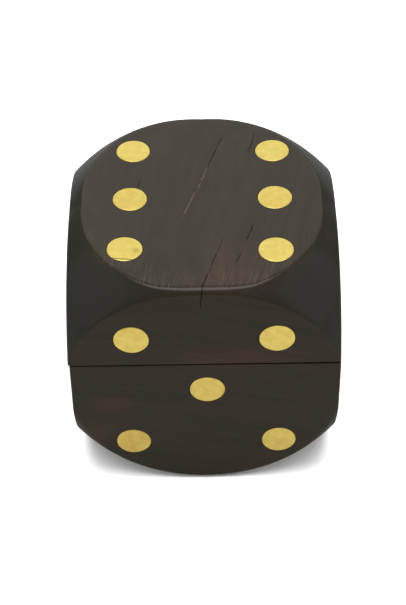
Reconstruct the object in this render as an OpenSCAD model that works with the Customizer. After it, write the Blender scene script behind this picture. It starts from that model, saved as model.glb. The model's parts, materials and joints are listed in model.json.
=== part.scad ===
// Wooden dice box shaped like a die, with flush brass dots and a lid on a small brass butt hinge.
// The origin is the centre of the underside: the five dots face -Y and the hinge is at +Y.

/* [Block] */
// Side of the cube that the box is cut from
side = 76; // [70:1:90]
// How far the round rim of each face stays inside the side of the cube
rim_margin = 1.05; // [0.5:0.05:1.6]
// Height of the saw cut above the middle of the cube
seam_rise = 10.5; // [7:0.5:12]
// Width of the saw cut between base and lid
seam_gap = 0.3; // [0.2:0.05:0.6]
// How much narrower the base is sanded on its left and on its right
base_trim = 0.2; // [0:0.05:0.5]
// How far the lid sits to the left of the base
lid_shift = 0.2; // [0:0.05:0.5]

/* [Hollow] */
// Thinnest wood between the round hollow and the side faces
wall_t = 12; // [10.5:0.5:16]
// Wood under the hollow of the base
floor_t = 9; // [6:0.5:14]
// Wood above the hollow of the lid
roof_t = 13.5; // [8:0.5:18]
// Broken edge round the mouth of each hollow
mouth_chamfer = 0.8; // [0.3:0.1:1.5]

/* [Dots] */
// Diameter of a brass dot
dot_d = 10; // [7:0.5:11]
// Thickness of a brass dot
dot_t = 3; // [1.5:0.5:5]
// Distance from the side of a face to the centres of the dots beside it
dot_inset = 17.5; // [16.5:0.5:20]
// Glue line round a dot
glue_gap = 0.1; // [0.05:0.05:0.2]

/* [Hinge] */
// Length of the hinge along its pin
hinge_len = 25; // [18:1:30]
// Width of a leaf, from the middle of the pin to its free edge
leaf_w = 11; // [9.5:0.5:12]
// Thickness of a leaf
leaf_t = 1; // [0.6:0.1:1.2]
// Number of knuckles on both leaves together
knuckle_count = 5; // [3:2:7]
// Outer diameter of a knuckle
knuckle_d = 3.2; // [2.8:0.1:4]
// Play between one knuckle and the next
knuckle_gap = 0.2; // [0.1:0.05:0.4]
// Space between the knuckles and the wood behind them
barrel_gap = 0.3; // [0.3:0.05:0.6]
// Diameter of the hinge pin
pin_d = 1.6; // [1.2:0.1:2]
// Running clearance between the pin and its bore
pin_clear = 0.05; // [0.02:0.01:0.1]
// Diameter of the riveted ends of the pin
pin_head_d = 2.4; // [2.2:0.1:3]
// Thickness of the riveted ends of the pin
pin_head_t = 0.5; // [0.3:0.1:0.8]
// Clearance round a leaf in its recess
recess_clear = 0.1; // [0.05:0.05:0.3]

/* [Screws] */
// Diameter of a screw's shank
screw_d = 1.6; // [1.2:0.1:2]
// Diameter of a screw's countersunk head
screw_head_d = 3; // [2.6:0.1:3.4]
// Length of a screw with its head
screw_len = 8; // [6:0.5:10]
// Length of a screw's point
screw_tip = 1.6; // [1:0.1:2]
// Distance from the end of the hinge to the screws
screw_inset = 4.5; // [3:0.5:6]
// Width of the slot in a screw's head
slot_w = 0.5; // [0.3:0.1:0.7]
// Depth of the slot in a screw's head
slot_depth = 0.4; // [0.2:0.1:0.5]
// Clearance round a screw in the leaf and in the wood
screw_clear = 0.05; // [0.02:0.01:0.1]

/* [Hidden] */
// Middle of the cube
half = side / 2;
// Radius of the flat round part of each face, and the ball that leaves it
face_r = half - rim_margin;
ball_r = sqrt(half * half + face_r * face_r);
// The saw cut, and the wood on each side of it
seam_z = half + seam_rise;
base_top = seam_z - seam_gap / 2;
lid_bottom = seam_z + seam_gap / 2;
// The hollow
hollow_r = half - wall_t;
hollow_top = side - roof_t;
// Dots off the middle of a face
dot_step = half - dot_inset;
// The hinge axis, behind the wood and level with the saw cut
knuckle_r = knuckle_d / 2;
axis_y = half + knuckle_r + barrel_gap;
knuckle_len = (hinge_len - (knuckle_count - 1) * knuckle_gap) / knuckle_count;
knuckle_pitch = knuckle_len + knuckle_gap;
notch_y = knuckle_r + barrel_gap;
// Screws stand in the middle of the leaf's width that lies on wood
screw_x = hinge_len / 2 - screw_inset;
screw_y = (half + axis_y - leaf_w) / 2;
head_h = (screw_head_d - screw_d) / 2;
tip_r = screw_d / 8;
// Overshoot of a cut past the face that it opens
past = 1;
$fn = 120;

// Where the dots of a face lie, in steps across and up from its middle
function pips(n) = concat(
    n % 2 == 1 ? [[0, 0]] : [],
    n > 1 ? [[-1, 1], [1, -1]] : [],
    n > 3 ? [[1, 1], [-1, -1]] : [],
    n == 6 ? [[-1, 0], [1, 0]] : []);

// How far the hand-drilled dots of the two main faces stray, across and up, in the order of pips
TOP_STRAY = [[0.5, 2], [-0.5, -0.5], [0, 1.5], [-1, 0.5], [0, 1], [0, 1]];
FRONT_STRAY = [[0.5, 0.5], [0.5, 0], [0.5, -0.5], [-0.5, 0], [-0.5, -0.5]];
NO_STRAY = [for (i = [1:6]) [0, 0]];

// Each face: name, number of dots, turn that brings the top face there, strays
FACES = [
    ["top", 6, [0, 0, 0], TOP_STRAY],
    ["front", 5, [90, 0, 0], FRONT_STRAY],
    ["right", 3, [90, 0, 90], NO_STRAY],
    ["left", 4, [90, 0, -90], NO_STRAY],
    ["back", 2, [90, 0, 180], NO_STRAY],
    ["bottom", 1, [180, 0, 0], NO_STRAY]];

// Each dot: node name, face name, turn, place across and up, and whether it is in the lid
function is_lid_dot(face, up) = face == "top" || (face != "bottom" && up > seam_rise);
function face_dots(f) = [for (i = [0 : f[1] - 1])
    let (at = pips(f[1])[i] * dot_step + f[3][i])
    [str("dot_", f[0], "_", i + 1), f[0], f[2], at, is_lid_dot(f[0], at[1])]];
DOTS = [for (f = FACES) for (d = face_dots(f)) d];

// Distance of a dot's face from the middle of the cube
function is_side(face) = face == "left" || face == "right";
function dot_out(d) = half - (is_side(d[1]) && !d[4] ? base_trim : 0);

SIDES = ["left", "right"];
SCREWS = [for (i = [0, 1]) for (leaf = ["base", "lid"])
    [str("hinge_screw_", leaf, "_", SIDES[i]), leaf, i]];

// The whole block: a cube with its corners and edges turned away by a ball
module block() {
    translate([0, 0, half]) intersection() {
        cube(side, center = true);
        sphere(r = ball_r);
    }
}

// Round hollow with its mouth at height zero, opening upwards, and a broken edge round the mouth
module hollow(depth) {
    translate([0, 0, -depth]) cylinder(h = depth + past, r = hollow_r);
    translate([0, 0, -mouth_chamfer])
        cylinder(h = mouth_chamfer + past, r1 = hollow_r, r2 = hollow_r + mouth_chamfer + past);
}

// A disc on a face, used for the brass dot and, with extra width, for its pocket
module dot_disc(d, extra) {
    translate([d[4] ? -lid_shift : 0, 0, half]) rotate(d[2])
        translate([d[3][0], d[3][1], dot_out(d) - dot_t])
            cylinder(h = dot_t + (extra > 0 ? past : 0), d = dot_d + 2 * extra);
}

module dot_pockets(in_lid) {
    for (d = DOTS) if (d[4] == in_lid) dot_disc(d, glue_gap);
}

// Puts a shape drawn for the base's half of the hinge in its place, or turned over for the lid's half
module at_hinge(leaf) {
    translate([0, axis_y, seam_z]) mirror([0, 0, leaf == "lid" ? 1 : 0]) children();
}

// Space for a leaf, let into the wood and open at the back
module leaf_recess(leaf) {
    at_hinge(leaf)
        translate([-hinge_len / 2 - recess_clear, -leaf_w - recess_clear, -seam_gap / 2 - leaf_t])
            cube([hinge_len + 2 * recess_clear, leaf_w + recess_clear, leaf_t + past]);
}

// A countersunk wood screw with its head up, at the left (0) or right (1) end of the hinge
module screw_shape(i, extra) {
    shank_r = screw_d / 2 + extra;
    translate([(2 * i - 1) * screw_x, screw_y - axis_y, -seam_gap / 2]) rotate_extrude() polygon([
        [0, 0],
        [screw_head_d / 2 + extra, 0],
        [shank_r, -head_h],
        [shank_r, screw_tip - screw_len],
        [tip_r + extra, -screw_len],
        [0, -screw_len]]);
}

module screw_holes(leaf) {
    at_hinge(leaf) for (i = [0, 1]) screw_shape(i, screw_clear);
}

module base() {
    color("#3a2c26") difference() {
        intersection() {
            block();
            translate([base_trim - half, -half, 0]) cube([side - 2 * base_trim, side, base_top]);
        }
        translate([0, 0, base_top]) hollow(base_top - floor_t);
        dot_pockets(false);
        leaf_recess("base");
        screw_holes("base");
    }
}

module lid() {
    color("#3f302a") difference() {
        translate([-lid_shift, 0, 0]) difference() {
            intersection() {
                block();
                translate([-half, -half, lid_bottom]) cube([side, side, side - lid_bottom]);
            }
            translate([0, 0, lid_bottom]) mirror([0, 0, 1]) hollow(hollow_top - lid_bottom);
        }
        dot_pockets(true);
        leaf_recess("lid");
        screw_holes("lid");
    }
}

module dot(d) {
    color("#d8bd62") dot_disc(d, 0);
}

// Left end of a knuckle, counted from the left
function knuckle_x(i) = i * knuckle_pitch - hinge_len / 2;

// A leaf with every second knuckle, starting at the one given
module leaf(first) {
    difference() {
        union() {
            difference() {
                translate([-hinge_len / 2, -leaf_w, -seam_gap / 2 - leaf_t])
                    cube([hinge_len, leaf_w, leaf_t]);
                for (i = [1 - first : 2 : knuckle_count - 1])
                    translate([knuckle_x(i) - knuckle_gap, -notch_y, -knuckle_r])
                        cube([knuckle_len + 2 * knuckle_gap, notch_y + past, knuckle_d]);
            }
            for (i = [first : 2 : knuckle_count - 1])
                translate([knuckle_x(i), 0, 0]) rotate([0, 90, 0])
                    cylinder(h = knuckle_len, r = knuckle_r);
        }
        translate([-hinge_len / 2 - past, 0, 0]) rotate([0, 90, 0])
            cylinder(h = hinge_len + 2 * past, d = pin_d + 2 * pin_clear);
        for (i = [0, 1]) screw_shape(i, screw_clear);
    }
}

module hinge_leaf_base() {
    color("#c9a649") at_hinge("base") leaf(0);
}

module hinge_leaf_lid() {
    color("#c9a649") at_hinge("lid") leaf(1);
}

// The pin runs through every knuckle and is riveted over at both ends
module hinge_pin() {
    end_x = hinge_len / 2 + pin_clear;
    color("#b8953f") at_hinge("base") rotate([0, 90, 0]) {
        translate([0, 0, -end_x]) cylinder(h = 2 * end_x, d = pin_d);
        for (turn = [0, 1]) mirror([0, 0, turn])
            translate([0, 0, end_x]) cylinder(h = pin_head_t, d1 = pin_head_d, d2 = pin_d);
    }
}

module hinge_screw(s) {
    color("#b8953f") at_hinge(s[1]) difference() {
        screw_shape(s[2], 0);
        translate([(2 * s[2] - 1) * screw_x, screw_y - axis_y, -seam_gap / 2 - slot_depth])
            translate([-screw_head_d, -slot_w / 2, 0]) cube([2 * screw_head_d, slot_w, slot_depth + past]);
    }
}

base();
lid();
hinge_leaf_base();
hinge_leaf_lid();
hinge_pin();
for (s = SCREWS) hinge_screw(s);
for (d = DOTS) dot(d);
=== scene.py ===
"""A wooden dice box in the shape of a die: polished dark wood, flush brass dots and a small brass hinge."""

import json
import math

import bmesh
import bpy
from bpy.props import FloatProperty, FloatVectorProperty, IntProperty, PointerProperty
from mathutils import Matrix, Vector

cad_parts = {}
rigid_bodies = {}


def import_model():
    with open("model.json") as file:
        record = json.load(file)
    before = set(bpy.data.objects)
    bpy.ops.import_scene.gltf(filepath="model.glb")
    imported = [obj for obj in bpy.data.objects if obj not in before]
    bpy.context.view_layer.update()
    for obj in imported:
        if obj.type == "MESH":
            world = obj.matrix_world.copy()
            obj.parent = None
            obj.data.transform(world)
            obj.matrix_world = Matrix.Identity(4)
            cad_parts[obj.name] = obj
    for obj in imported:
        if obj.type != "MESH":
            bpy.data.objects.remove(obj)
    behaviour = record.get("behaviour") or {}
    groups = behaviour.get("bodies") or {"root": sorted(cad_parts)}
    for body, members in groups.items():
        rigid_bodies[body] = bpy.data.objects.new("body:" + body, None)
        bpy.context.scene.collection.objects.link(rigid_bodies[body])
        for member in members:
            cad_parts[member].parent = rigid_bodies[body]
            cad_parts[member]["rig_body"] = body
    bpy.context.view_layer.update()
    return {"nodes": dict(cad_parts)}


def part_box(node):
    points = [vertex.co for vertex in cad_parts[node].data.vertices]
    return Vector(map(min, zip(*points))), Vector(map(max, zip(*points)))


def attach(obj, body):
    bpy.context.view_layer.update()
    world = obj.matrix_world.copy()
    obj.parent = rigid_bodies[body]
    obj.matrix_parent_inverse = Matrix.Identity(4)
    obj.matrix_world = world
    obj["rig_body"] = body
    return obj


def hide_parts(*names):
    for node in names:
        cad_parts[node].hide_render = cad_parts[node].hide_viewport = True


bl_info = {
    "name": "Wooden Dice Box",
    "version": (1, 0, 0),
    "blender": (4, 5, 0),
    "location": "3D View > Sidebar > Dice Box",
    "description": "Builds the looks of a hinged wooden dice box around its packed model",
    "category": "Object",
}

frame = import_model()

# Lengths below are in metres, and MM turns a size in millimetres into metres
MM = 0.001

BASE_LOW, BASE_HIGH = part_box("base")
LID_LOW, LID_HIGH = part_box("lid")
SIDE = LID_HIGH.z
HALF = SIDE / 2
LID_MIDDLE_X = (LID_LOW.x + LID_HIGH.x) / 2
DOTS = sorted(name for name in frame["nodes"] if name.startswith("dot_"))
LEAVES = ("hinge_leaf_base", "hinge_leaf_lid")
FASTENERS = ["hinge_pin"] + sorted(name for name in frame["nodes"] if name.startswith("hinge_screw_"))

# Height of a direction, from -1 to 1, where the lower ball begins to pass into the upper, and over how much
BALL_BLEND = (-0.3, 0.55)
# Share of a side's rings of faces that lie on its flat part
FLAT_RINGS = 0.56
# Degrees off the nearest axis where a surface begins to count as turned, and over how many it does so fully
TURNED_FROM = (28, 14)

# How far a cutter stands out of what it cuts
CUTTER_RISE = 1 * MM
HOLLOW_CUTTER_RISE = 2 * MM
RECESS_CUTTER_HEIGHT = 3 * MM
# Room left behind a dot and under the tip of a screw
POCKET_SLACK = 0.05 * MM
SCREW_SLACK = 0.1 * MM
SCREW_HOLE_RADIUS = 0.9 * MM
FLOOR_FILLET = 1.2 * MM
DOT_SEGMENTS = 72
HOLE_SEGMENTS = 24
HOLLOW_SEGMENTS = 128

# Lights: name, place, size, and brightness of the panel's surface
LIGHTS = (
    ("ceiling_light", (0.0, -0.1, 1.0), (0.8, 0.8), 9.0),
    ("back_light", (0.0, 1.1, 0.75), (2.0, 1.0), 2.0),
    ("front_light", (0.1, -1.0, 1.0), (0.8, 0.8), 1.4),
    ("left_light", (-1.1, 0.0, 0.5), (0.9, 0.9), 1.6),
    ("right_light", (1.1, 0.0, 0.5), (0.9, 0.9), 1.6),
)
SURROUNDINGS = 0.4
FLOOR_REACH = 6.0
SENSOR_WIDTH = 36.0

# Sockets of the Mix node in its colour mode
MIX_FACTOR, MIX_LOW, MIX_HIGH, MIX_RESULT = 0, 6, 7, 2


class DiceBoxBlock(bpy.types.PropertyGroup):
    """Sizes of the wooden block, its hollow and its pockets"""

    lower_ball: FloatVectorProperty(
        name="Lower ball", description="Half-axes of the ball that turned away the base's corners",
        default=(54.3 * MM, 54.3 * MM, 51.2 * MM), size=3, subtype="XYZ")
    upper_ball: FloatVectorProperty(
        name="Upper ball", description="Half-axes of the flatter ball that turned away the lid's corners",
        default=(52.3 * MM, 57.8 * MM, 50.8 * MM), size=3, subtype="XYZ")
    ball_shift: FloatVectorProperty(
        name="Ball shift", description="How far the hand-held turning strayed from the middle of the lid",
        default=(-0.2 * MM, 0.1 * MM, -1.0 * MM), size=3, subtype="XYZ")
    ball_full: FloatProperty(
        name="Ball fullness", description="Share by which the lid's corners stand proud of its ball",
        default=0.018, subtype="FACTOR")
    front_flat: FloatVectorProperty(
        name="Front flat", description="How far the flat sanded on the top edge reaches down and back",
        default=(2.9 * MM, 0.9 * MM), size=2)
    front_soft: FloatProperty(
        name="Front softness", description="How far the sanding rounds the front edge of the top",
        default=2.4 * MM, unit="LENGTH")
    rim_soft: FloatProperty(
        name="Rim softness", description="How far the sanding of a rim reaches to either side",
        default=0.6 * MM, unit="LENGTH")
    rings: IntProperty(
        name="Rings", description="Rings of faces from the middle of a side to its edge", default=32, min=12)
    seam_wear: FloatProperty(
        name="Seam wear", description="How far the sharp edges along the saw cut are eased",
        default=0.14 * MM, unit="LENGTH")
    seam_slope: FloatProperty(
        name="Seam slope", description="How much wider the gap under the lid gets from left to right",
        default=0.25 * MM, unit="LENGTH")
    hollow_radius: FloatProperty(
        name="Hollow radius", description="Radius of the round hollow", default=26 * MM, unit="LENGTH")
    floor: FloatProperty(
        name="Floor", description="Wood under the hollow of the base", default=9 * MM, unit="LENGTH")
    roof: FloatProperty(
        name="Roof", description="Wood above the hollow of the lid", default=13.5 * MM, unit="LENGTH")
    mouth: FloatProperty(
        name="Mouth", description="Broken edge round the mouth of the hollow", default=0.8 * MM, unit="LENGTH")
    glue_line: FloatProperty(
        name="Glue line", description="Dark line of glue round a dot", default=0.1 * MM, unit="LENGTH")


class DiceBoxMetal(bpy.types.PropertyGroup):
    """Sizes of the brass pieces"""

    dot_dome: FloatProperty(
        name="Dot dome", description="How far a dot is rounded over between its middle and its rim",
        default=0.02 * MM, unit="LENGTH")
    dot_edge: FloatProperty(
        name="Dot edge", description="Width of the rubbed-down edge of a dot", default=0.12 * MM, unit="LENGTH")
    dot_uneven: FloatProperty(
        name="Dot unevenness", description="Largest share of its radius that a dot lacks at its rim",
        default=0.035, subtype="FACTOR")
    leaf_thickness: FloatProperty(
        name="Leaf thickness", description="Thickness of a hinge leaf", default=1.0 * MM, unit="LENGTH")
    recess_clear: FloatProperty(
        name="Recess clearance", description="Space round a leaf in its recess", default=0.1 * MM, unit="LENGTH")
    edge: FloatProperty(
        name="Edge", description="Rounding of the stamped edges of the hinge", default=0.08 * MM, unit="LENGTH")


class DiceBoxFinish(bpy.types.PropertyGroup):
    """Colours and grain of the wood and the brass"""

    wood_dark: FloatVectorProperty(
        name="Dark wood", description="Colour of the dark bands of the wood", subtype="COLOR", size=3,
        default=(0.0095, 0.0074, 0.0042), min=0, max=1)
    wood_light: FloatVectorProperty(
        name="Light wood", description="Colour of the light bands of the wood", subtype="COLOR", size=3,
        default=(0.0190, 0.0152, 0.0090), min=0, max=1)
    wood_red: FloatVectorProperty(
        name="Red wood", description="Colour of the reddish patches in the wood", subtype="COLOR", size=3,
        default=(0.034, 0.0150, 0.0092), min=0, max=1)
    hollow_wood: FloatVectorProperty(
        name="Hollow wood", description="Colour of the bare wood inside the hollow", subtype="COLOR", size=3,
        default=(0.075, 0.042, 0.026), min=0, max=1)
    brass: FloatVectorProperty(
        name="Brass", description="Colour of clean brass", subtype="COLOR", size=3,
        default=(0.395, 0.318, 0.082), min=0, max=1)
    tarnish: FloatVectorProperty(
        name="Tarnish", description="Colour of stained brass", subtype="COLOR", size=3,
        default=(0.29, 0.20, 0.045), min=0, max=1)
    grain_turn: FloatProperty(
        name="Grain turn", description="Angle by which the grain leans off the front-to-back direction",
        default=math.radians(12), subtype="ANGLE")


class DiceBoxStage(bpy.types.PropertyGroup):
    """Where the camera and the lights stand"""

    aim: FloatVectorProperty(
        name="Aim", description="Point that the camera looks at", size=3, subtype="XYZ",
        default=(-0.448 * MM, 0.0, 35.946 * MM))
    distance: FloatProperty(
        name="Distance", description="From the camera to the point that it looks at",
        default=507.8 * MM, unit="LENGTH")
    elevation: FloatProperty(
        name="Elevation", description="Height of the camera above the horizon", default=0.766, subtype="ANGLE")
    turn: FloatProperty(
        name="Turn", description="Turn of the camera to the right of the front", default=0.002, subtype="ANGLE")
    roll: FloatProperty(
        name="Roll", description="Tilt of the camera about its own axis", default=-0.015, subtype="ANGLE")
    lens: FloatProperty(
        name="Lens", description="Focal length, in millimetres on a 36 mm sensor", default=101.19, min=10)


def settings():
    return bpy.context.scene.dice_box


class Surface:
    """A value or a vector that varies over a surface. Arithmetic on it adds Math nodes to its finish."""

    def __init__(self, finish, socket):
        self.finish = finish
        self.socket = socket

    def math(self, operation, *others):
        return self.finish.node("ShaderNodeMath", {"operation": operation},
                                dict(enumerate((self, *others))))

    def __add__(self, other):
        return self.math("ADD", other)

    def __sub__(self, other):
        return self.math("SUBTRACT", other)

    def __rsub__(self, other):
        return self.finish.node("ShaderNodeMath", {"operation": "SUBTRACT"}, {0: other, 1: self})

    def __mul__(self, other):
        return self.math("MULTIPLY", other)

    __radd__ = __add__
    __rmul__ = __mul__

    def between(self, low, high):
        """Rises smoothly from 0 where this value is low to 1 where it is high."""
        return self.finish.node("ShaderNodeMapRange", {"interpolation_type": "SMOOTHSTEP"},
                                {"Value": self, "From Min": low, "From Max": high})


class Finish:
    """A material under construction."""

    def __init__(self, name):
        self.material = bpy.data.materials.new(name)
        self.material.use_nodes = True
        self.tree = self.material.node_tree
        self.tree.nodes.clear()

    def node(self, kind, options, values, output=0):
        """Adds one node with its options and the values or links of its sockets."""
        node = self.tree.nodes.new(kind)
        for key, value in options.items():
            setattr(node, key, value)
        for key, value in values.items():
            if isinstance(value, Surface):
                self.tree.links.new(value.socket, node.inputs[key])
            else:
                node.inputs[key].default_value = value
        return Surface(self, node.outputs[output])

    def place(self, turn=0.0):
        """Position in millimetres, turned about the vertical."""
        position = self.node("ShaderNodeTexCoord", {}, {}, "Object")
        return self.node("ShaderNodeMapping", {"vector_type": "POINT"},
                         {"Vector": position, "Rotation": (0, 0, turn), "Scale": (1 / MM, 1 / MM, 1 / MM)})

    def stretched(self, place, scale):
        """The place scaled along each axis, so a texture laid on it is drawn out where the scale is small."""
        return self.node("ShaderNodeVectorMath", {"operation": "MULTIPLY"}, {0: place, 1: scale})

    def axes(self, place):
        """The three parts of a place, each as a value."""
        parts = self.node("ShaderNodeSeparateXYZ", {}, {"Vector": place})
        sockets = parts.socket.node.outputs
        return [Surface(self, socket) for socket in sockets]

    def vector(self, x, y, z):
        return self.node("ShaderNodeCombineXYZ", {}, {"X": x, "Y": y, "Z": z})

    def noise(self, place, detail=2.0, roughness=0.5):
        return self.node("ShaderNodeTexNoise", {"noise_dimensions": "3D"},
                         {"Vector": place, "Scale": 1.0, "Detail": detail, "Roughness": roughness})

    def cells(self, place):
        """Distance from the middles of cells of uneven size."""
        return self.node("ShaderNodeTexVoronoi", {"feature": "F1"}, {"Vector": place, "Scale": 1.0},
                         "Distance")

    def mix(self, low, high, factor):
        """Colour between two others, each a tuple or itself varying."""
        colours = {MIX_LOW: low, MIX_HIGH: high}
        colours = {key: (*value, 1.0) if isinstance(value, tuple) else value
                   for key, value in colours.items()}
        return self.node("ShaderNodeMix", {"data_type": "RGBA"}, {MIX_FACTOR: factor, **colours},
                         MIX_RESULT)

    def bump(self, height, strength, distance):
        return self.node("ShaderNodeBump", {}, {"Height": height, "Strength": strength, "Distance": distance})

    def close(self, values):
        """Feeds the main shader and the output."""
        shader = self.node("ShaderNodeBsdfPrincipled", {}, values)
        end = self.tree.nodes.new("ShaderNodeOutputMaterial")
        self.tree.links.new(shader.socket, end.inputs["Surface"])
        return self.material


# Checks in the wood: place across the grain and along it where each begins and ends, and its depth, in mm
CHECKS = (
    ((-1.5, 14.0), (-0.2, 29.5), 3.0),
    ((8.6, 24.0), (9.1, 33.0), 3.0),
    ((14.9, -15.5), (15.8, -6.5), 3.0),
    ((14.0, -24.0), (14.5, -19.0), 2.0),
    ((7.0, -38.5), (8.4, -14.5), 5.0),
    ((-19.4, 1.0), (-19.3, 5.5), 2.0),
)
# A fine pale scratch on the top, in the same terms
SCRATCH = ((-4.0, -8.0), (-1.4, 16.0), 2.0)
CHECK_WIDTH, SCRATCH_WIDTH, DOT_SCRATCH_WIDTH = 0.26, 0.22, 0.3
# Reddish patches: middle and reach in mm, and strength
WARM_PATCHES = (
    ((9.0, -38.0, 51.5), (27.0, 16.0, 6.0), 0.75),
    ((-26.0, -38.0, 33.0), (9.0, 12.0, 5.0), 0.7),
    ((-31.0, -38.0, 21.0), (7.0, 10.0, 6.0), 0.6),
    ((8.0, -26.0, 76.0), (12.0, 12.0, 9.0), 0.45),
    ((4.0, -33.0, 76.0), (24.0, 7.0, 7.0), 0.35),
    ((10.0, 30.0, 20.0), (30.0, 14.0, 9.0), 0.8),
)
TURNED_WOOD = (0.0125, 0.0122, 0.0108)
FRAYED_FIBRE = (0.07, 0.062, 0.055)
SCRATCHED_WOOD = (0.085, 0.046, 0.038)
OPEN_PORE = (0.002, 0.0015, 0.001)

# How far the brass of each dot has dulled, where it differs from most
TARNISH = {"dot_top_1": 0.0, "dot_top_2": 0.05, "dot_top_3": 0.05, "dot_top_4": 0.0, "dot_top_5": 0.3,
           "dot_top_6": 0.25, "dot_front_1": 0.5, "dot_front_2": 0.3, "dot_front_4": 0.3,
           "dot_front_3": 0.45, "dot_front_5": 0.9}
# A scratch across one dot of the top, as places back and right of the middle, and a stain beside it
DOT_SCRATCH = ((-23.6, -25.8), (-24.6, -17.8), 2.0)
DOT_STAIN = ((-18.6, -20.7, 76.0), (1.3, 1.5, 1.0), 0.9)
BRASS_GRIME = (0.09, 0.07, 0.02)


def check_line(place, start, end, depth, wander, width):
    """Mask of one line that runs roughly along the grain, open at the top of the block."""
    across, along, height = place
    lean = (end[0] - start[0]) / (end[1] - start[1])
    off = across - (along * lean + (start[0] - start[1] * lean)) - wander
    line = 1.0 - off.math("ABSOLUTE").between(width * 0.4, width)
    from_start = along.between(start[1] - 1.0, start[1] + 1.5)
    from_end = 1.0 - along.between(end[1] - 2.5, end[1] + 1.0)
    top = SIDE / MM
    return line * from_start * from_end * height.between(top - depth - 1.0, top - depth)


def soft_patch(finish, place, middle, reach, strength):
    """Mask of a soft patch round a point."""
    away = finish.node("ShaderNodeVectorMath", {"operation": "SUBTRACT"}, {0: place, 1: middle})
    share = finish.stretched(away, tuple(1 / length for length in reach))
    distance = finish.node("ShaderNodeVectorMath", {"operation": "LENGTH"}, {0: share}, "Value")
    return (1.0 - distance.between(0.2, 1.0)) * strength


def dark_wood(name, light, dark, red, gloss):
    """Fine dark wood: year rings, fibres, short pores, checks and reddish patches, under a thin polish."""
    finish = Finish(name)
    block_place = finish.place()
    place = finish.place(settings().finish.grain_turn)
    across, along, height = finish.axes(place)
    drift = finish.noise(finish.stretched(place, (0.02, 0.008, 0.02)), detail=2.0)
    pith = finish.vector(across + 40.0, 0.0, height + 330.0)
    ring = finish.node("ShaderNodeVectorMath", {"operation": "LENGTH"}, {0: pith}, "Value") + drift * 16.0
    years = finish.noise(finish.vector(ring * 0.45, along * 0.004, across * 0.012), detail=2.0)
    lines = finish.noise(finish.vector(ring * 2.4, along * 0.012, across * 0.05), detail=3.0, roughness=0.6)
    fibres = finish.noise(finish.stretched(place, (3.2, 0.09, 3.2)), detail=4.0, roughness=0.65)
    pores = finish.cells(finish.stretched(place, (1.9, 0.16, 1.9)))
    pore = (1.0 - pores.between(0.07, 0.17)) * fibres.between(0.35, 0.6)

    patches = sum(soft_patch(finish, block_place, *patch) for patch in WARM_PATCHES)
    clouds = finish.noise(finish.stretched(place, (0.06, 0.035, 0.09)), detail=3.0, roughness=0.6)
    redness = (patches + clouds.between(0.55, 0.8) * 0.25) * (lines.between(0.3, 0.7) * 0.7 + 0.3)

    wander = (finish.noise(finish.stretched(place, (0.02, 0.13, 0.1)), detail=4.0) - 0.5) * 2.0
    gaps = finish.noise(finish.stretched(place, (0.1, 0.55, 0.1)), detail=2.0).between(0.34, 0.5)
    lines_at = (across, along, height)
    checks = sum(check_line(lines_at, *check, wander, CHECK_WIDTH) for check in CHECKS) * (gaps * 0.8 + 0.2)
    scratch = check_line(lines_at, *SCRATCH, wander, SCRATCH_WIDTH) * gaps

    rim = finish.node("ShaderNodeVectorMath", {"operation": "LENGTH"},
                      {0: finish.stretched(block_place, (1.0, 1.0, 0.0))}, "Value")
    hairs = finish.noise(finish.stretched(place, (4.5, 0.12, 1.0)), detail=2.0).between(0.56, 0.7)
    top = height.between(SIDE / MM - 0.35, SIDE / MM - 0.1)
    end_grain = finish.node("ShaderNodeAttribute", {"attribute_name": "end_grain"}, {}, "Fac")
    turned = finish.node("ShaderNodeAttribute", {"attribute_name": "turned"}, {}, "Fac")
    hairs = hairs * rim.between(28.0, 35.0) * (1.0 - along.between(-30.0, -14.0)) * top

    tone = years.between(0.3, 0.7) * 0.35 + lines.between(0.25, 0.75) * 0.3 + fibres.between(0.25, 0.75) * 0.35
    wood = finish.mix(tuple(dark), tuple(light), tone * (1.0 - turned * 0.35))
    wood = finish.mix(wood, TURNED_WOOD, turned * 0.7)
    wood = finish.mix(wood, tuple(red), redness)
    wood = finish.mix(wood, FRAYED_FIBRE, hairs * 0.5)
    wood = finish.mix(wood, SCRATCHED_WOOD, scratch * 0.6)
    wood = finish.mix(wood, OPEN_PORE, (checks + pore * 0.5).math("MINIMUM", 1.0))
    scuffs = finish.noise(finish.stretched(place, (0.8, 0.1, 0.8)), detail=5.0, roughness=0.7)
    roughness = scuffs * 0.2 + checks * 0.3 + pore * 0.15 + (gloss - 0.1)
    relief = fibres * 0.3 + lines * 0.3 + hairs * 0.5 - pore * 0.7 - checks * 3.0
    normal = finish.bump(relief, 0.3, 0.05 * MM)
    polish = (0.255 - end_grain * 0.115 - checks * 0.1) * (1.0 - turned * 0.5)
    return finish.close({"Base Color": wood, "Roughness": roughness, "Normal": normal,
                         "Specular IOR Level": 0.0, "Coat Weight": polish, "Coat Roughness": 0.2})


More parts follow.
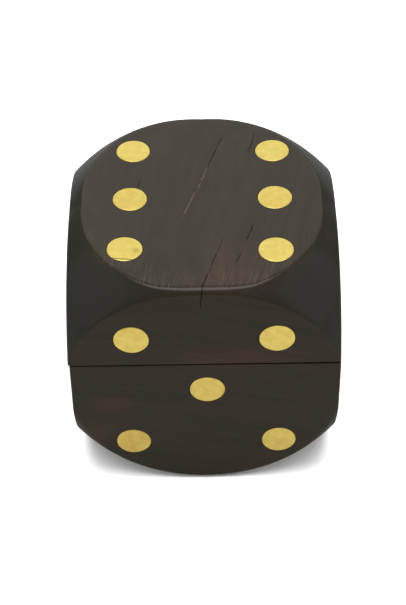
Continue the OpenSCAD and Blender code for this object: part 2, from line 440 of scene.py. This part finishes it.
def satin_brass(name, wear):
    """Brass sanded flush with the wood and left to dull: fine scratches, faint clouds, specks and stains."""
    finish = Finish(name)
    place = finish.place(0.6)
    clouds = finish.noise(finish.stretched(place, (0.45, 0.45, 0.45)), detail=4.0, roughness=0.6)
    stains = finish.noise(finish.stretched(place, (0.9, 1.1, 0.9)), detail=5.0, roughness=0.7)
    lines = finish.noise(finish.stretched(place, (9.0, 0.5, 4.0)), detail=2.0)
    specks = finish.cells(finish.stretched(place, (0.8, 0.8, 0.8)))
    speck = (1.0 - specks.between(0.05, 0.12)) * stains.between(0.45, 0.6)
    block_place = finish.place()
    x, y, z = finish.axes(block_place)
    scratch = check_line((y, x, z), *DOT_SCRATCH, 0.0, DOT_SCRATCH_WIDTH)
    stain = soft_patch(finish, block_place, *DOT_STAIN) * (stains.between(0.4, 0.6) * 0.6 + 0.4)
    tarnish = finish.node("ShaderNodeAttribute", {"attribute_name": "tarnish"}, {}, "Fac")
    dull = tarnish * 0.75 + clouds.between(0.3, 0.75) * 0.45 + stains.between(0.58, 0.72) * wear
    tone = finish.mix(tuple(settings().finish.brass), tuple(settings().finish.tarnish),
                      (dull + speck * 0.6).math("MINIMUM", 1.0))
    tone = finish.mix(tone, BRASS_GRIME, scratch * 0.8 + stain * 0.6)
    roughness = clouds * 0.12 + lines * 0.06 + speck * 0.1 + 0.34
    normal = finish.bump(lines * 0.5 + clouds * 0.5 - speck * 0.4, 0.15, 0.02 * MM)
    return finish.close({"Base Color": tone, "Metallic": 1.0, "Roughness": roughness, "Normal": normal})


def link_piece(mesh, name, body, slot, *nodes):
    """Links a finished mesh as a piece that rides on a body and stands for CAD nodes."""
    piece = bpy.data.objects.new(name, mesh)
    bpy.context.scene.collection.objects.link(piece)
    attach(piece, body)
    if nodes:
        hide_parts(*nodes)
    return piece


def smooth(mesh, angle):
    """Shades the mesh smooth, apart from edges sharper than an angle in degrees."""
    mesh.polygons.foreach_set("use_smooth", [True] * len(mesh.polygons))
    mesh.set_sharp_from_angle(angle=math.radians(angle))


def lathe(profile, steps):
    """Turns a profile of (radius, height) points, which starts and ends on the axis, about the vertical."""
    bm = bmesh.new()
    points = [bm.verts.new((radius, 0.0, height)) for radius, height in profile]
    edges = [bm.edges.new(pair) for pair in zip(points, points[1:])]
    bmesh.ops.spin(bm, geom=points + edges, cent=(0, 0, 0), axis=(0, 0, 1), angle=math.tau, steps=steps,
                   use_merge=True)
    bmesh.ops.remove_doubles(bm, verts=bm.verts[:], dist=0.0001 * MM)
    bmesh.ops.recalc_face_normals(bm, faces=bm.faces[:])
    return bm


def hand_cut(bm, name, amount):
    """Draws a turned piece in to the slightly uneven outline of a dot filed by hand."""
    seed = 1.7 * DOTS.index(name)
    for vert in bm.verts:
        angle = math.atan2(vert.co.y, vert.co.x)
        wave = math.sin(2 * angle + seed) + 0.7 * math.sin(3 * angle + 2 * seed) + 0.4 * math.sin(5 * angle)
        vert.co.xy *= 1 - amount * (2.1 + wave) / 4.2


def soft_min(first, second, reach):
    """The smaller of two lengths, rounded over where they differ by less than the reach."""
    overlap = max(reach - abs(first - second), 0.0) / reach
    return min(first, second) - overlap * overlap * reach / 4


class TurnedBlock:
    """The cube with its corners and edges turned away, as the distance of its surface from its middle."""

    def __init__(self, block):
        self.lower = Vector(block.lower_ball)
        self.upper = Vector(block.upper_ball)
        self.shift = Vector(block.ball_shift)
        self.full = block.ball_full
        self.soft = block.rim_soft
        self.front_soft = block.front_soft
        drop, inset = block.front_flat
        self.flat_side = Vector((0.0, -drop, inset)).normalized()
        self.flat_reach = self.flat_side.dot(Vector((0.0, inset - HALF, HALF)))
        self.rings = block.rings
        self.rim_ring = round(block.rings * FLAT_RINGS)
        self.rim_angles = {}

    def ball(self, direction):
        """Reach of the ball, whose axes and middle pass from the base's to the lid's."""
        start, span = BALL_BLEND
        share = min(max((direction.z - start) / span, 0.0), 1.0)
        share = share * share * (3 - 2 * share)
        axes = self.lower.lerp(self.upper, share)
        stretch = math.sqrt(sum((c / a) ** 2 for c, a in zip(direction, axes)))
        corner = abs(direction.x * direction.y * direction.z) * 3 ** 1.5
        return (1 + share * self.full * corner) / stretch + share * direction.dot(self.shift)

    def flat(self, direction):
        """Reach of the flat sanded on the front edge of the top."""
        return self.flat_reach / max(direction.dot(self.flat_side), 0.01)

    def reach(self, direction):
        """Distance of the finished surface, with its rims sanded."""
        nearest = sorted(HALF / max(abs(c), 1e-6) for c in direction)
        block = soft_min(nearest[0], nearest[1], self.soft)
        return soft_min(soft_min(block, self.ball(direction), self.soft), self.flat(direction), self.front_soft)

    def rim_angle(self, key, outward, across, edge_angle):
        """Angle off the side's middle at which the flat side meets the ball."""
        if key not in self.rim_angles:
            low, high = 0.0, edge_angle * 0.985
            for _ in range(24):
                middle = (low + high) / 2
                direction = outward * math.cos(middle) + across * math.sin(middle)
                if HALF / math.cos(middle) < min(self.ball(direction), self.flat(direction)):
                    low = middle
                else:
                    high = middle
            self.rim_angles[key] = low
        return self.rim_angles[key]

    def settle(self, corner):
        """Moves a point of an evenly divided cube from -1 to 1 to its place on the block."""
        axis = max(range(3), key=lambda i: abs(corner[i]))
        others = [i for i in range(3) if i != axis]
        major = max(others, key=lambda i: abs(corner[i]))
        minor = others[0] if major == others[1] else others[1]
        outward = Vector((0, 0, 0))
        outward[axis] = math.copysign(1, corner[axis])
        ring = abs(corner[major])
        if ring < 1e-6:
            return outward * HALF
        slope = math.tan(corner[minor] / ring * math.pi / 4)
        across = Vector((0, 0, 0))
        across[major] = math.copysign(1, corner[major])
        across[minor] = slope
        edge_angle = math.atan(across.length)
        across.normalize()
        key = (axis, outward[axis], major, across[major] > 0, round(slope, 6))
        rim = self.rim_angle(key, outward, across, edge_angle)
        flat_share = self.rim_ring / self.rings
        if ring <= flat_share:
            inward = 1 - ring / flat_share
            angle = math.atan(math.tan(rim) * (1 - inward ** 2))
        else:
            angle = rim + (edge_angle - rim) * ((ring - flat_share) / (1 - flat_share)) ** 1.6
        direction = outward * math.cos(angle) + across * math.sin(angle)
        return direction * self.reach(direction)


def turned_block(block):
    """The whole block as a bmesh, with rings of faces that follow the rim of each side."""
    bm = bmesh.new()
    bmesh.ops.create_cube(bm, size=2.0)
    bmesh.ops.subdivide_edges(bm, edges=bm.edges[:], cuts=2 * block.rings - 1, use_grid_fill=True)
    shape = TurnedBlock(block)
    for vert in bm.verts:
        vert.co = shape.settle(vert.co) + Vector((0, 0, HALF))
    return bm


def cut_level(bm, point, normal, wear):
    """Keeps what lies behind a plane and closes it there, with the sharp edge eased."""
    for depth in (2.0 * wear, 0.7 * wear):
        bmesh.ops.bisect_plane(bm, geom=bm.verts[:] + bm.edges[:] + bm.faces[:], dist=0.001 * MM,
                               plane_co=point - normal * depth, plane_no=normal)
    bmesh.ops.bisect_plane(bm, geom=bm.verts[:] + bm.edges[:] + bm.faces[:], dist=0.001 * MM,
                           plane_co=point, plane_no=normal, clear_outer=True)
    for vert in bm.verts:
        depth = (point - vert.co).dot(normal)
        if depth < 1.5 * wear:
            side = Vector((vert.co.x, vert.co.y, 0.0)).normalized()
            vert.co -= side * wear * (1 - depth / (1.5 * wear)) ** 2
    bmesh.ops.holes_fill(bm, edges=[edge for edge in bm.edges if edge.is_boundary])


def bore(profile, steps, matrix, dot=None):
    """A turned cutter, placed by a matrix, and hand-cut where it is for a dot."""
    bm = lathe(profile, steps)
    if dot:
        hand_cut(bm, dot, settings().metal.dot_uneven)
    bmesh.ops.transform(bm, matrix=matrix, verts=bm.verts[:])
    return bm


def hole_profile(radius, depth):
    """Profile of the cutter of a plain round hole."""
    return [(0, CUTTER_RISE), (radius, CUTTER_RISE), (radius, -depth), (0, -depth)]


def face_matrix(name):
    """Matrix that puts a disc drawn on the XY plane, with its face at height 0, where a dot's face is.
    The dot's radius and thickness come with it."""
    low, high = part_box(name)
    centre = (low + high) / 2
    turns = {"top": ("X", 0), "bottom": ("X", 180), "front": ("X", 90), "back": ("X", -90),
             "right": ("Y", 90), "left": ("Y", -90)}
    axis, degrees = turns[name.split("_")[1]]
    matrix = Matrix.Rotation(math.radians(degrees), 4, axis)
    outward = matrix.to_3x3() @ Vector((0, 0, 1))
    thickness = min(high - low)
    return Matrix.Translation(centre + outward * thickness / 2) @ matrix, max(high - low) / 2, thickness


def dots_of(body):
    return [name for name in DOTS if frame["nodes"][name]["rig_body"] == body]


def pocket_cutters(body, block):
    """The pockets of the dots, each wider than its dot by the line of glue."""
    cutters = []
    for name in dots_of(body):
        matrix, radius, thickness = face_matrix(name)
        profile = hole_profile(radius + block.glue_line, thickness + POCKET_SLACK)
        cutters.append(bore(profile, DOT_SEGMENTS, matrix, name))
    return cutters


def half_turn(body):
    """Turn that makes a cutter drawn for the base's upper face fit the lid's lower face."""
    return Matrix.Identity(4) if body == "base" else Matrix.Rotation(math.pi, 4, "X")


def hinge_cutters(body, metal):
    """The recess of a leaf and the holes of its two screws."""
    low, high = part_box("hinge_leaf_" + body)
    gap = metal.recess_clear
    seam = BASE_HIGH.z if body == "base" else LID_LOW.z
    upward = 1 if body == "base" else -1
    bm = bmesh.new()
    bmesh.ops.create_cube(bm, size=1.0)
    size = Vector((high.x - low.x + 2 * gap, high.y - low.y + gap, RECESS_CUTTER_HEIGHT))
    middle = Vector((0, (low.y - gap + high.y) / 2, seam + upward * (size.z / 2 - metal.leaf_thickness)))
    bmesh.ops.transform(bm, matrix=Matrix.Translation(middle) @ Matrix.Diagonal((*size, 1)), verts=bm.verts[:])
    cutters = [bm]
    for name in FASTENERS:
        if name.startswith("hinge_screw_" + body):
            low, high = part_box(name)
            spot = Matrix.Translation(((low.x + high.x) / 2, (low.y + high.y) / 2, seam)) @ half_turn(body)
            profile = hole_profile(SCREW_HOLE_RADIUS, high.z - low.z + SCREW_SLACK)
            cutters.append(bore(profile, HOLE_SEGMENTS, spot))
    return cutters


def hollow_cutter(body, block):
    """The round hollow, with an eased mouth and a small fillet round its floor."""
    seam = BASE_HIGH.z if body == "base" else LID_LOW.z
    depth = seam - block.floor if body == "base" else SIDE - block.roof - seam
    wide, ease, fillet = block.hollow_radius, block.mouth, FLOOR_FILLET
    corner = [(wide - fillet + fillet * math.cos(a), fillet - depth - fillet * math.sin(a))
              for a in (math.radians(step * 15) for step in range(7))]
    mouth = [(wide + ease * (1 - math.cos(a)), -ease * (1 - math.sin(a)))
             for a in (math.radians(step * 15) for step in range(7))]
    above = [(0, HOLLOW_CUTTER_RISE), (wide + ease, HOLLOW_CUTTER_RISE)]
    profile = above + mouth[::-1] + corner + [(0, -depth)]
    shift = LID_MIDDLE_X if body == "lid" else 0.0
    return bore(profile, HOLLOW_SEGMENTS, Matrix.Translation((shift, 0, seam)) @ half_turn(body))


def carve(mesh, cutters):
    """Cuts each cutter out of the mesh and returns the result."""
    scene = bpy.context.scene
    holder = bpy.data.collections.new("cutters")
    scene.collection.children.link(holder)
    for cutter in cutters:
        cutter_mesh = bpy.data.meshes.new("cutter")
        cutter.to_mesh(cutter_mesh)
        cutter.free()
        holder.objects.link(bpy.data.objects.new("cutter", cutter_mesh))
    block = bpy.data.objects.new("block", mesh)
    scene.collection.objects.link(block)
    cut = block.modifiers.new("cut", "BOOLEAN")
    cut.operand_type = "COLLECTION"
    cut.collection = holder
    cut.solver = "EXACT"
    cut.operation = "DIFFERENCE"
    graph = bpy.context.evaluated_depsgraph_get()
    result = bpy.data.meshes.new_from_object(block.evaluated_get(graph))
    for spare in [block, *holder.objects]:
        bpy.data.objects.remove(spare)
    bpy.data.collections.remove(holder)
    return result


def wooden_piece(body):
    """The base or the lid, cut from the turned block and carved."""
    block, metal = settings().block, settings().metal
    bm = turned_block(block)
    if body == "base":
        narrow = (BASE_HIGH.x - BASE_LOW.x) / SIDE
        for vert in bm.verts:
            vert.co.x *= narrow
        cut_level(bm, Vector((0, 0, BASE_HIGH.z)), Vector((0, 0, 1)), block.seam_wear)
    else:
        for vert in bm.verts:
            vert.co.x += LID_MIDDLE_X
        slope = math.atan(block.seam_slope / SIDE)
        normal = Vector((math.sin(slope), 0, -math.cos(slope)))
        cut_level(bm, Vector((-HALF, 0, LID_LOW.z)), normal, block.seam_wear)
    mesh = bpy.data.meshes.new(body)
    bm.to_mesh(mesh)
    bm.free()
    mesh = carve(mesh, [hollow_cutter(body, block)] + pocket_cutters(body, block)
                 + hinge_cutters(body, metal))
    mesh.name = "wood_" + body
    low, high = (block.floor, BASE_HIGH.z) if body == "base" else (LID_LOW.z, SIDE - block.roof)
    for face in mesh.polygons:
        from_axis = math.hypot(face.center.x, face.center.y)
        inside = low - 0.1 * MM < face.center.z < high + 0.1 * MM
        face.material_index = int(inside and from_axis < block.hollow_radius + 0.6 * block.mouth)
    smooth(mesh, 35)
    mark_surface(mesh)
    return mesh


def mark_surface(mesh):
    """Stores how squarely each corner of the surface cuts across the grain, and whether it was turned."""
    turn = settings().finish.grain_turn
    start, span = TURNED_FROM
    along = Vector((math.sin(turn), math.cos(turn), 0.0))
    normals = [normal.vector for normal in mesh.corner_normals]
    tilts = [math.degrees(math.acos(min(max(abs(part) for part in normal), 1.0))) for normal in normals]
    marks = {"end_grain": [abs(normal.dot(along)) for normal in normals],
             "turned": [min(max((tilt - start) / span, 0.0), 1.0) for tilt in tilts]}
    for name, values in marks.items():
        mesh.attributes.new(name, "FLOAT", "CORNER").data.foreach_set("value", values)


class DICEBOX_OT_wood(bpy.types.Operator):
    """Build the base and the lid from one turned block of dark wood"""

    bl_idname = "dicebox.wood"
    bl_label = "Wooden Base and Lid"

    def execute(self, context):
        finish = settings().finish
        outside = dark_wood("waxed_dark_wood", finish.wood_light, finish.wood_dark, finish.wood_red, 0.26)
        inside = dark_wood("bored_wood", finish.hollow_wood, finish.wood_light, finish.wood_red, 0.5)
        for body in ("base", "lid"):
            mesh = wooden_piece(body)
            mesh.materials.clear()
            mesh.materials.append(outside)
            mesh.materials.append(inside)
            link_piece(mesh, "wood_" + body, body, "dark_wood", body)
        return {"FINISHED"}


class DICEBOX_OT_dots(bpy.types.Operator):
    """Set the brass dots flush into their pockets"""

    bl_idname = "dicebox.dots"
    bl_label = "Brass Dots"

    def execute(self, context):
        metal = settings().metal
        brass = satin_brass("dot_brass", 0.3)
        for name in DOTS:
            matrix, radius, thickness = face_matrix(name)
            dome, edge = metal.dot_dome, metal.dot_edge
            crown = [(radius * share, -dome * share ** 2) for share in (0, 0.3, 0.6, 0.8)]
            rim = [(radius - edge, -dome), (radius - 0.3 * edge, -dome - 0.25 * edge), (radius, -dome - edge)]
            bm = lathe(crown + rim + [(radius, -thickness), (0, -thickness)], DOT_SEGMENTS)
            hand_cut(bm, name, metal.dot_uneven)
            bmesh.ops.transform(bm, matrix=matrix, verts=bm.verts[:])
            mesh = bpy.data.meshes.new("brass_" + name)
            bm.to_mesh(mesh)
            bm.free()
            smooth(mesh, 50)
            tarnish = mesh.attributes.new("tarnish", "FLOAT", "POINT")
            tarnish.data.foreach_set("value", [TARNISH.get(name, 0.3)] * len(mesh.vertices))
            mesh.materials.append(brass)
            link_piece(mesh, "brass_" + name, frame["nodes"][name]["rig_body"], "dot_brass", name)
        return {"FINISHED"}


class DICEBOX_OT_hinge(bpy.types.Operator):
    """Finish the leaves, the pin and the screws of the hinge"""

    bl_idname = "dicebox.hinge"
    bl_label = "Brass Hinge"

    def execute(self, context):
        metal = settings().metal
        brass = satin_brass("hinge_brass", 0.5)
        for name in (*LEAVES, *FASTENERS):
            piece = frame["nodes"][name]
            piece.data.materials.clear()
            piece.data.materials.append(brass)
            weld = piece.modifiers.new("weld", "WELD")
            weld.merge_threshold = 0.002 * MM
            ease = piece.modifiers.new("ease", "BEVEL")
            ease.width = metal.edge
            ease.segments = 2
            ease.limit_method = "ANGLE"
            ease.angle_limit = math.radians(40)
            ease.harden_normals = True
        return {"FINISHED"}


class DICEBOX_OT_stage(bpy.types.Operator):
    """Set up the floor, the soft lights and the camera"""

    bl_idname = "dicebox.stage"
    bl_label = "Floor, Lights and Camera"

    def execute(self, context):
        self.add_floor()
        self.add_world()
        for light in LIGHTS:
            self.add_light(*light)
        self.add_camera()
        return {"FINISHED"}

    def add_floor(self):
        bm = bmesh.new()
        bmesh.ops.create_grid(bm, x_segments=1, y_segments=1, size=FLOOR_REACH)
        mesh = bpy.data.meshes.new("floor")
        bm.to_mesh(mesh)
        bm.free()
        finish = Finish("pale_floor")
        place = finish.place()
        tone = finish.noise(finish.stretched(place, (0.01, 0.01, 0.01)), detail=2.0)
        white = finish.mix((0.92, 0.92, 0.92), (0.95, 0.95, 0.95), tone)
        mesh.materials.append(finish.close({"Base Color": white, "Roughness": 0.9}))
        floor = bpy.data.objects.new("floor", mesh)
        bpy.context.scene.collection.objects.link(floor)

    def add_world(self):
        world = bpy.data.worlds.new("studio")
        world.use_nodes = True
        background = world.node_tree.nodes["Background"]
        background.inputs["Color"].default_value = (1.0, 1.0, 1.0, 1.0)
        background.inputs["Strength"].default_value = SURROUNDINGS
        bpy.context.scene.world = world

    def add_light(self, name, place, size, brightness):
        """Adds a soft panel that faces the box. Its brightness is that of its surface."""
        light = bpy.data.lights.new(name, "AREA")
        light.shape = "RECTANGLE"
        light.size, light.size_y = size
        light.energy = brightness * math.pi * light.size * light.size_y
        lamp = bpy.data.objects.new(name, light)
        lamp.location = place
        towards_box = Vector((0, 0, HALF)) - Vector(place)
        lamp.rotation_euler = towards_box.to_track_quat("-Z", "Y").to_euler()
        bpy.context.scene.collection.objects.link(lamp)

    def add_camera(self):
        stage = settings().stage
        away = Vector((math.sin(stage.turn) * math.cos(stage.elevation),
                       -math.cos(stage.turn) * math.cos(stage.elevation), math.sin(stage.elevation)))
        right = Vector((0, 0, 1)).cross(away).normalized()
        up = away.cross(right)
        tilted_right = right * math.cos(stage.roll) + up * math.sin(stage.roll)
        tilted_up = up * math.cos(stage.roll) - right * math.sin(stage.roll)
        lens = bpy.data.cameras.new("camera")
        lens.lens = stage.lens
        lens.sensor_width = SENSOR_WIDTH
        lens.clip_start = 0.01
        camera = bpy.data.objects.new("camera", lens)
        turn = Matrix((tilted_right, tilted_up, away)).transposed().to_4x4()
        camera.matrix_world = Matrix.Translation(Vector(stage.aim) + away * stage.distance) @ turn
        bpy.context.scene.collection.objects.link(camera)
        bpy.context.scene.camera = camera


class DICEBOX_PT_panel(bpy.types.Panel):
    """Lists the steps that build the dice box"""

    bl_idname = "DICEBOX_PT_panel"
    bl_label = "Dice Box"
    bl_space_type = "VIEW_3D"
    bl_region_type = "UI"
    bl_category = "Dice Box"

    def draw(self, context):
        for step in STEPS:
            self.layout.operator(step.bl_idname)


class DiceBoxSettings(bpy.types.PropertyGroup):
    """All settings of the dice box"""

    block: PointerProperty(type=DiceBoxBlock)
    metal: PointerProperty(type=DiceBoxMetal)
    finish: PointerProperty(type=DiceBoxFinish)
    stage: PointerProperty(type=DiceBoxStage)


STEPS = (DICEBOX_OT_stage, DICEBOX_OT_wood, DICEBOX_OT_dots, DICEBOX_OT_hinge)
CLASSES = (DiceBoxBlock, DiceBoxMetal, DiceBoxFinish, DiceBoxStage, DiceBoxSettings, *STEPS, DICEBOX_PT_panel)


def register():
    for cls in CLASSES:
        bpy.utils.register_class(cls)
    bpy.types.Scene.dice_box = PointerProperty(type=DiceBoxSettings)


def unregister():
    del bpy.types.Scene.dice_box
    for cls in reversed(CLASSES):
        bpy.utils.unregister_class(cls)


def main():
    register()
    bpy.context.scene.view_settings.view_transform = "Standard"
    bpy.ops.dicebox.stage()
    bpy.ops.dicebox.wood()
    bpy.ops.dicebox.dots()
    bpy.ops.dicebox.hinge()


if __name__ == "__main__":
    main()
